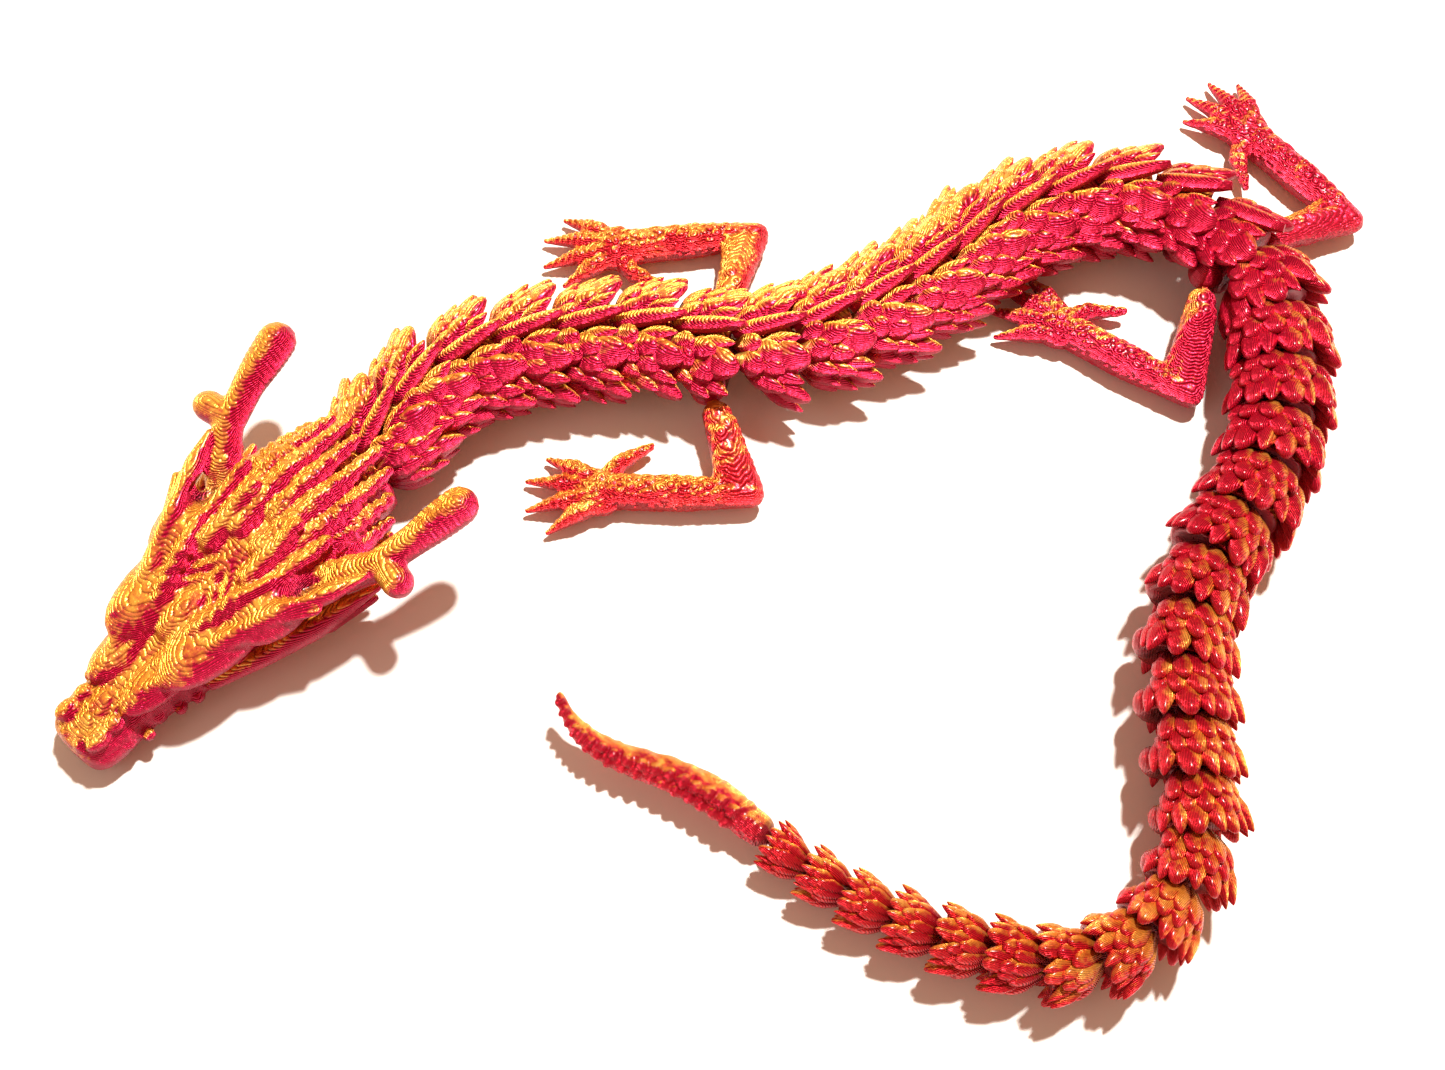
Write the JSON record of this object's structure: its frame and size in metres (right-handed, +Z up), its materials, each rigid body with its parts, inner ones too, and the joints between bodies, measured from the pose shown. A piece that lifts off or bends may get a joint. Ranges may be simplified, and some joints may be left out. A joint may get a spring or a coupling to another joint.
{
  "type": "articulated toy dragon",
  "caption": "Printed articulated dragon toy: horned head, chain of scaled segments on ball joints, tapering ridged tail and folded clawed legs, lying curled on its belly.",
  "frame": {"origin": "on the table under the middle of the curled figure's box", "axes": "+Z up, +X from the head's end of the curled figure to the hip bend, +Y towards the side where the back lies"},
  "size_m": [0.2818, 0.2158, 0.0348],
  "materials": {
    "silk_print": "two-colour silk filament, gold on one side and rose magenta on the other, with fine printed layer lines"
  },
  "bodies": {
    "head": {"head": "silk_print"},
    "neck_segment_01": {"neck_segment_01": "silk_print"},
    "neck_segment_02": {"neck_segment_02": "silk_print"},
    "neck_segment_03": {"neck_segment_03": "silk_print"},
    "neck_segment_04": {"neck_segment_04": "silk_print"},
    "neck_segment_05": {"neck_segment_05": "silk_print"},
    "neck_segment_06": {"neck_segment_06": "silk_print"},
    "chest_segment": {"chest_segment": "silk_print"},
    "back_segment_01": {"back_segment_01": "silk_print"},
    "back_segment_02": {"back_segment_02": "silk_print"},
    "back_segment_03": {"back_segment_03": "silk_print"},
    "back_segment_04": {"back_segment_04": "silk_print"},
    "back_segment_05": {"back_segment_05": "silk_print"},
    "back_segment_06": {"back_segment_06": "silk_print"},
    "back_segment_07": {"back_segment_07": "silk_print"},
    "back_segment_08": {"back_segment_08": "silk_print"},
    "back_segment_09": {"back_segment_09": "silk_print"},
    "hip_segment": {"hip_segment": "silk_print"},
    "tail_segment_01": {"tail_segment_01": "silk_print"},
    "tail_segment_02": {"tail_segment_02": "silk_print"},
    "tail_segment_03": {"tail_segment_03": "silk_print"},
    "tail_segment_04": {"tail_segment_04": "silk_print"},
    "tail_segment_05": {"tail_segment_05": "silk_print"},
    "tail_segment_06": {"tail_segment_06": "silk_print"},
    "tail_segment_07": {"tail_segment_07": "silk_print"},
    "tail_segment_08": {"tail_segment_08": "silk_print"},
    "tail_segment_09": {"tail_segment_09": "silk_print"},
    "tail_segment_10": {"tail_segment_10": "silk_print"},
    "tail_segment_11": {"tail_segment_11": "silk_print"},
    "tail_segment_12": {"tail_segment_12": "silk_print"},
    "tail_segment_13": {"tail_segment_13": "silk_print"},
    "tail_segment_14": {"tail_segment_14": "silk_print"},
    "tail_segment_15": {"tail_segment_15": "silk_print"},
    "tail_segment_16": {"tail_segment_16": "silk_print"},
    "tail_segment_17": {"tail_segment_17": "silk_print"},
    "tail_segment_18": {"tail_segment_18": "silk_print"},
    "tail_segment_19": {"tail_segment_19": "silk_print"},
    "tail_segment_20": {"tail_segment_20": "silk_print"},
    "tail_segment_21": {"tail_segment_21": "silk_print"},
    "tail_tip": {"tail_tip": "silk_print"},
    "left_front_leg": {"left_front_leg": "silk_print"},
    "right_front_leg": {"right_front_leg": "silk_print"},
    "left_hind_leg": {"left_hind_leg": "silk_print"},
    "right_hind_leg": {"right_hind_leg": "silk_print"}
  },
  "joints": [
    {"name": "head_joint", "type": "hinge", "parent": "neck_segment_01", "child": "head", "pos_m": [-0.08155, 0.00314, 0.01081], "axis": [0, 0, -1], "range_deg": [-37, 7]},
    {"name": "left_front_leg_joint", "type": "hinge", "parent": "chest_segment", "child": "left_front_leg", "pos_m": [-0.00566, 0.04105, 0.00881], "axis": [0, 0, 1], "range_deg": [-30, 8]},
    {"name": "right_front_leg_joint", "type": "hinge", "parent": "chest_segment", "child": "right_front_leg", "pos_m": [-0.00851, 0.0249, 0.00881], "axis": [0, 0, 1], "range_deg": [-18, 30]},
    {"name": "left_hind_leg_joint", "type": "hinge", "parent": "hip_segment", "child": "left_hind_leg", "pos_m": [0.11343, 0.06162, 0.00704], "axis": [0, 0, -1], "range_deg": [-18, 30]},
    {"name": "right_hind_leg_joint", "type": "hinge", "parent": "hip_segment", "child": "right_hind_leg", "pos_m": [0.10214, 0.05119, 0.01277], "axis": [0, 0, -1], "range_deg": [-8, 0]},
    {"name": "back_segment_01_joint", "type": "hinge", "parent": "chest_segment", "child": "back_segment_01", "pos_m": [-0.00427, 0.03248, 0.01081], "axis": [0, 0, 1], "range_deg": [-30, 7]},
    {"name": "neck_segment_06_joint", "type": "hinge", "parent": "chest_segment", "child": "neck_segment_06", "pos_m": [-0.01707, 0.03473, 0.01081], "axis": [0, 0, 1], "range_deg": [-24, 14]},
    {"name": "neck_segment_01_joint", "type": "hinge", "parent": "neck_segment_02", "child": "neck_segment_01", "pos_m": [-0.07544, 0.01462, 0.01081], "axis": [0, 0, -1], "range_deg": [-10, 34]},
    {"name": "hip_segment_joint", "type": "hinge", "parent": "back_segment_09", "child": "hip_segment", "pos_m": [0.10137, 0.06432, 0.01165], "axis": [0, 0, -1], "range_deg": [-44, 0]},
    {"name": "tail_segment_01_joint", "type": "hinge", "parent": "hip_segment", "child": "tail_segment_01", "pos_m": [0.11023, 0.05481, 0.01182], "axis": [0, 0, -1], "range_deg": [-43, 1]},
    {"name": "tail_tip_joint", "type": "hinge", "parent": "tail_segment_21", "child": "tail_tip", "pos_m": [0.00552, -0.07479, 0.00621], "axis": [0, 0, 1], "range_deg": [-20, 24]},
    {"name": "neck_segment_02_joint", "type": "hinge", "parent": "neck_segment_03", "child": "neck_segment_02", "pos_m": [-0.06709, 0.02458, 0.01081], "axis": [0, 0, 1], "range_deg": [-44, 0]},
    {"name": "neck_segment_03_joint", "type": "hinge", "parent": "neck_segment_04", "child": "neck_segment_03", "pos_m": [-0.05561, 0.03068, 0.01081], "axis": [0, 0, 1], "range_deg": [-36, 8]},
    {"name": "neck_segment_04_joint", "type": "hinge", "parent": "neck_segment_05", "child": "neck_segment_04", "pos_m": [-0.043, 0.03383, 0.01081], "axis": [0, 0, -1], "range_deg": [-14, 30]},
    {"name": "neck_segment_05_joint", "type": "hinge", "parent": "neck_segment_06", "child": "neck_segment_05", "pos_m": [-0.03007, 0.03519, 0.01081], "axis": [0, 0, -1], "range_deg": [-14, 30]},
    {"name": "back_segment_02_joint", "type": "hinge", "parent": "back_segment_01", "child": "back_segment_02", "pos_m": [0.00868, 0.03361, 0.01081], "axis": [0, 0, -1], "range_deg": [-7, 26]},
    {"name": "back_segment_03_joint", "type": "hinge", "parent": "back_segment_02", "child": "back_segment_03", "pos_m": [0.02089, 0.03805, 0.01081], "axis": [0, 0, -1], "range_deg": [-15, 26]},
    {"name": "back_segment_04_joint", "type": "hinge", "parent": "back_segment_03", "child": "back_segment_04", "pos_m": [0.03248, 0.04396, 0.01081], "axis": [0, 0, 1], "range_deg": [-22, 15]},
    {"name": "back_segment_05_joint", "type": "hinge", "parent": "back_segment_04", "child": "back_segment_05", "pos_m": [0.04326, 0.05123, 0.01081], "axis": [0, 0, 1], "range_deg": [-18, 15]},
    {"name": "back_segment_06_joint", "type": "hinge", "parent": "back_segment_05", "child": "back_segment_06", "pos_m": [0.05307, 0.05976, 0.01081], "axis": [0, 0, -1], "range_deg": [-33, 0]},
    {"name": "back_segment_07_joint", "type": "hinge", "parent": "back_segment_06", "child": "back_segment_07", "pos_m": [0.06432, 0.06625, 0.01081], "axis": [0, 0, -1], "range_deg": [-33, 0]},
    {"name": "back_segment_08_joint", "type": "hinge", "parent": "back_segment_07", "child": "back_segment_08", "pos_m": [0.07662, 0.07049, 0.01081], "axis": [0, 0, 1], "range_deg": [0, 44]},
    {"name": "back_segment_09_joint", "type": "hinge", "parent": "back_segment_08", "child": "back_segment_09", "pos_m": [0.08959, 0.06981, 0.01132], "axis": [0, 0, 1], "range_deg": [0, 44]},
    {"name": "tail_segment_02_joint", "type": "hinge", "parent": "tail_segment_01", "child": "tail_segment_02", "pos_m": [0.1151, 0.04276, 0.01181], "axis": [0, 0, 1], "range_deg": [-1, 43]},
    {"name": "tail_segment_03_joint", "type": "hinge", "parent": "tail_segment_02", "child": "tail_segment_03", "pos_m": [0.11533, 0.02976, 0.01164], "axis": [0, 0, 1], "range_deg": [-12, 32]},
    {"name": "tail_segment_04_joint", "type": "hinge", "parent": "tail_segment_03", "child": "tail_segment_04", "pos_m": [0.1133, 0.01693, 0.0122], "axis": [0, 0, -1], "range_deg": [-32, 12]},
    {"name": "tail_segment_05_joint", "type": "hinge", "parent": "tail_segment_04", "child": "tail_segment_05", "pos_m": [0.10914, 0.00486, 0.01265], "axis": [0, 0, -1], "range_deg": [-32, 12]},
    {"name": "tail_segment_06_joint", "type": "hinge", "parent": "tail_segment_05", "child": "tail_segment_06", "pos_m": [0.10305, -0.00612, 0.01292], "axis": [0, 0, 1], "range_deg": [-12, 32]},
    {"name": "tail_segment_07_joint", "type": "hinge", "parent": "tail_segment_06", "child": "tail_segment_07", "pos_m": [0.09529, -0.01571, 0.01301], "axis": [0, 0, 1], "range_deg": [-18, 10]},
    {"name": "tail_segment_08_joint", "type": "hinge", "parent": "tail_segment_07", "child": "tail_segment_08", "pos_m": [0.08979, -0.0265, 0.01293], "axis": [0, 0, -1], "range_deg": [-10, 18]},
    {"name": "tail_segment_09_joint", "type": "hinge", "parent": "tail_segment_08", "child": "tail_segment_09", "pos_m": [0.08672, -0.03798, 0.01267], "axis": [0, 0, -1], "range_deg": [-10, 22]},
    {"name": "tail_segment_10_joint", "type": "hinge", "parent": "tail_segment_09", "child": "tail_segment_10", "pos_m": [0.08611, -0.04963, 0.0125], "axis": [0, 0, 1], "range_deg": [-22, 19]},
    {"name": "tail_segment_11_joint", "type": "hinge", "parent": "tail_segment_10", "child": "tail_segment_11", "pos_m": [0.08611, -0.06107, 0.01198], "axis": [0, 0, 1], "range_deg": [-22, 19]},
    {"name": "tail_segment_12_joint", "type": "hinge", "parent": "tail_segment_11", "child": "tail_segment_12", "pos_m": [0.08669, -0.07226, 0.01145], "axis": [0, 0, -1], "range_deg": [-43, 1]},
    {"name": "tail_segment_13_joint", "type": "hinge", "parent": "tail_segment_12", "child": "tail_segment_13", "pos_m": [0.0833, -0.08271, 0.01093], "axis": [0, 0, -1], "range_deg": [-43, 1]},
    {"name": "tail_segment_14_joint", "type": "hinge", "parent": "tail_segment_13", "child": "tail_segment_14", "pos_m": [0.07652, -0.09108, 0.0104], "axis": [0, 0, 1], "range_deg": [-1, 43]},
    {"name": "tail_segment_15_joint", "type": "hinge", "parent": "tail_segment_14", "child": "tail_segment_15", "pos_m": [0.06739, -0.09635, 0.00988], "axis": [0, 0, 1], "range_deg": [-1, 43]},
    {"name": "tail_segment_16_joint", "type": "hinge", "parent": "tail_segment_15", "child": "tail_segment_16", "pos_m": [0.05719, -0.09797, 0.00936], "axis": [0, 0, -1], "range_deg": [-43, 1]},
    {"name": "tail_segment_17_joint", "type": "hinge", "parent": "tail_segment_16", "child": "tail_segment_17", "pos_m": [0.04731, -0.09587, 0.00883], "axis": [0, 0, -1], "range_deg": [-27, 17]},
    {"name": "tail_segment_18_joint", "type": "hinge", "parent": "tail_segment_17", "child": "tail_segment_18", "pos_m": [0.03787, -0.09298, 0.0083], "axis": [0, 0, 1], "range_deg": [-17, 27]},
    {"name": "tail_segment_19_joint", "type": "hinge", "parent": "tail_segment_18", "child": "tail_segment_19", "pos_m": [0.02891, -0.08936, 0.00778], "axis": [0, 0, 1], "range_deg": [-17, 27]},
    {"name": "tail_segment_20_joint", "type": "hinge", "parent": "tail_segment_19", "child": "tail_segment_20", "pos_m": [0.02051, -0.08508, 0.00726], "axis": [0, 0, -1], "range_deg": [-27, 17]},
    {"name": "tail_segment_21_joint", "type": "hinge", "parent": "tail_segment_20", "child": "tail_segment_21", "pos_m": [0.0127, -0.0802, 0.00673], "axis": [0, 0, -1], "range_deg": [-27, 17]}
  ]
}
